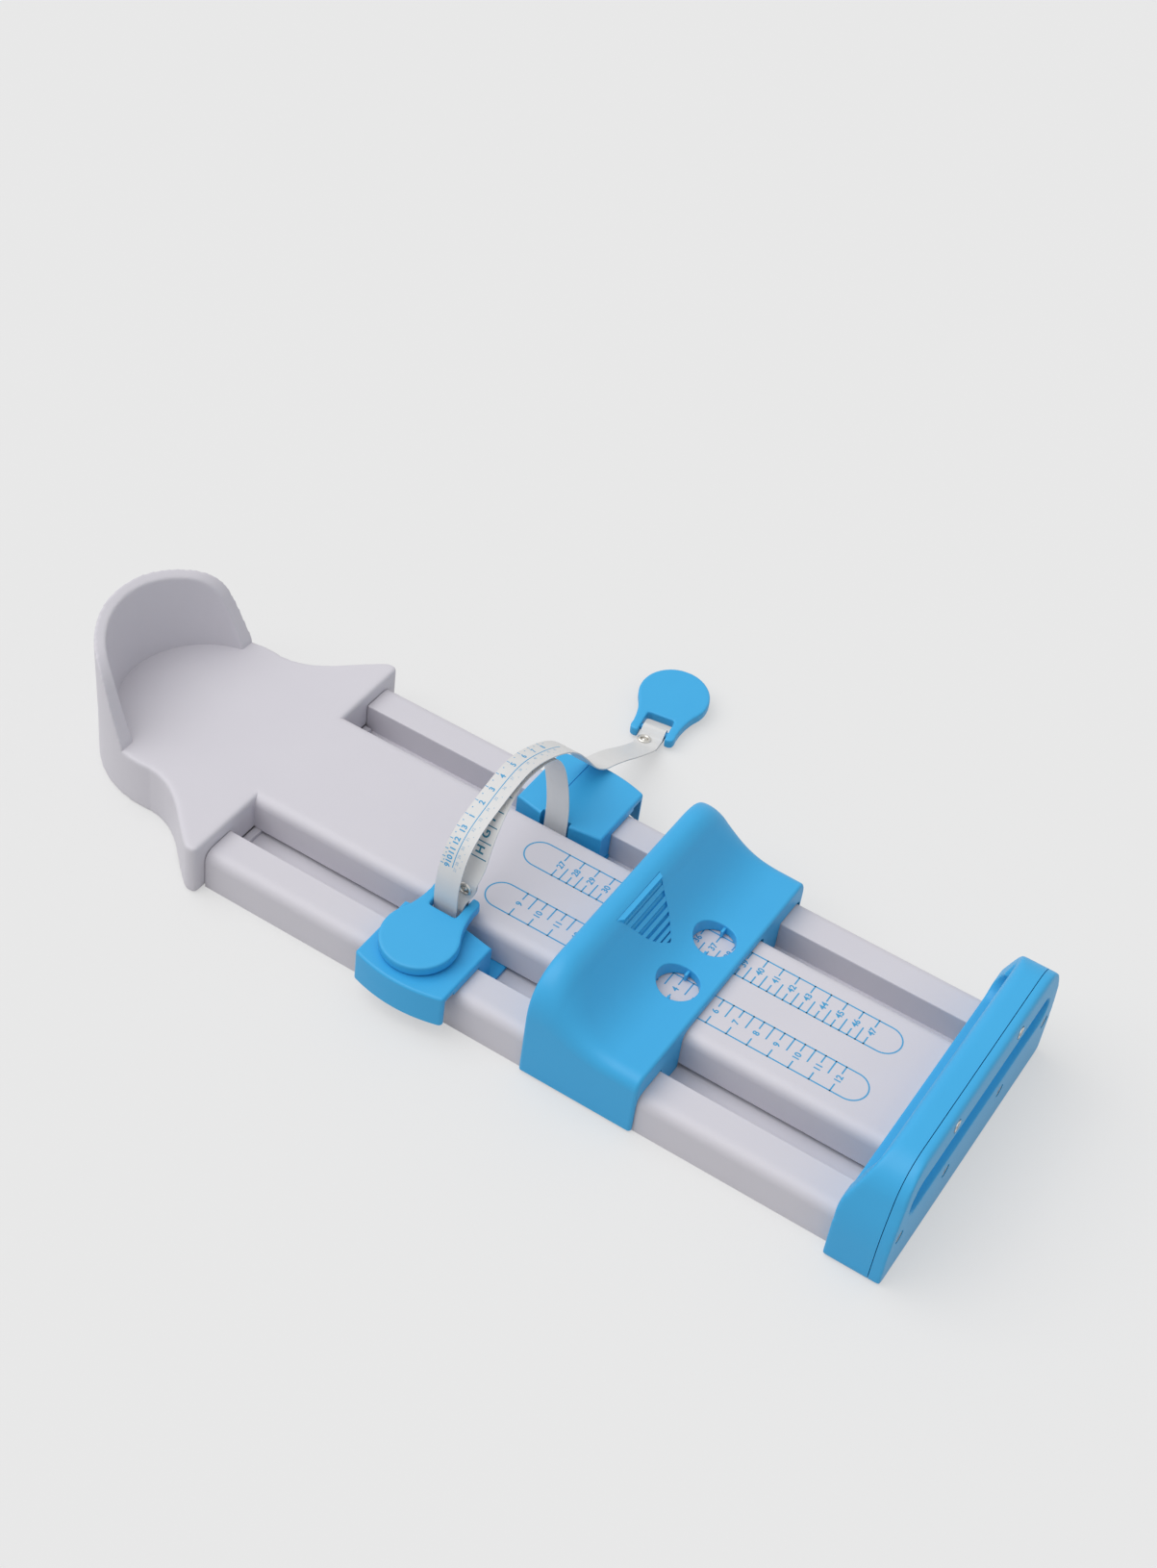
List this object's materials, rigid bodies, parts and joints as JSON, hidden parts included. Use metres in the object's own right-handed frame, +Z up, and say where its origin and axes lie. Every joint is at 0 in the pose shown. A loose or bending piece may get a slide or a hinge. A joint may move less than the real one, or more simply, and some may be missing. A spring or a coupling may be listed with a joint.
{
  "type": "foot measuring device",
  "caption": "Foot gauge with a heel cup, a printed plate on rails, a sliding toe stop, a sliding width tape and a carrying handle.",
  "frame": {"origin": "on the floor, on the middle line, halfway along the body from the back of the heel cup to the handle's outer face", "axes": "+X from the heel cup to the handle, +Y to the side where the tape's free grip lies, +Z up"},
  "size_m": [0.3824, 0.2251, 0.0676],
  "materials": {
    "plate_plastic": "satin moulded white",
    "base_plastic": "satin moulded white",
    "blue_plastic": "satin moulded sky blue",
    "tape_plastic": "printed flexible white band",
    "fastener_steel": "bright plated"
  },
  "bodies": {
    "frame": {"foot_plate": "plate_plastic", "base_frame": "base_plastic", "base_cover": "base_plastic", "cover_screw_1": "fastener_steel", "cover_screw_2": "fastener_steel", "cover_screw_3": "fastener_steel", "cover_screw_4": "fastener_steel", "cover_screw_5": "fastener_steel", "cover_screw_6": "fastener_steel", "heel_screw_1": "fastener_steel", "heel_screw_2": "fastener_steel", "heel_screw_3": "fastener_steel", "heel_screw_4": "fastener_steel", "handle_front": "blue_plastic", "handle_back": "blue_plastic", "handle_screw_1": "fastener_steel", "handle_screw_2": "fastener_steel", "handle_screw_3": "fastener_steel", "handle_screw_4": "fastener_steel", "handle_screw_5": "fastener_steel", "handle_screw_6": "fastener_steel"},
    "width_carriage": {"near_slider": "blue_plastic", "far_slider": "blue_plastic", "carriage_crossbar": "blue_plastic", "crossbar_screw_1": "fastener_steel", "crossbar_screw_2": "fastener_steel", "crossbar_screw_3": "fastener_steel", "crossbar_screw_4": "fastener_steel", "measuring_tape": "tape_plastic", "near_rivet": "fastener_steel", "far_rivet": "fastener_steel"},
    "toe_stop": {"toe_slide": "blue_plastic", "toe_keeper": "blue_plastic", "toe_keeper_screw_1": "fastener_steel", "toe_keeper_screw_2": "fastener_steel"},
    "near_grip_body": {"near_grip": "blue_plastic"},
    "far_grip_body": {"far_grip": "blue_plastic"}
  },
  "joints": [
    {"name": "width_carriage_slide", "type": "slide", "parent": "frame", "child": "width_carriage", "axis": [1, 0, 0], "range_m": [-0.073, 0.013]},
    {"name": "toe_slide_travel", "type": "slide", "parent": "width_carriage", "child": "toe_stop", "axis": [1, 0, 0], "range_m": [-0.0275, 0.0667]},
    {"name": "near_grip_swing", "type": "hinge", "parent": "width_carriage", "child": "near_grip_body", "pos_m": [-0.0109, -0.0302, 0.02735], "axis": [-1, 0, 0], "range_deg": [0, 25]},
    {"name": "far_grip_swing", "type": "hinge", "parent": "width_carriage", "child": "far_grip_body", "pos_m": [-0.01017, 0.1186, 0.0037], "axis": [0.9877, 0.1564, 0], "range_deg": [-5, 21]}
  ]
}
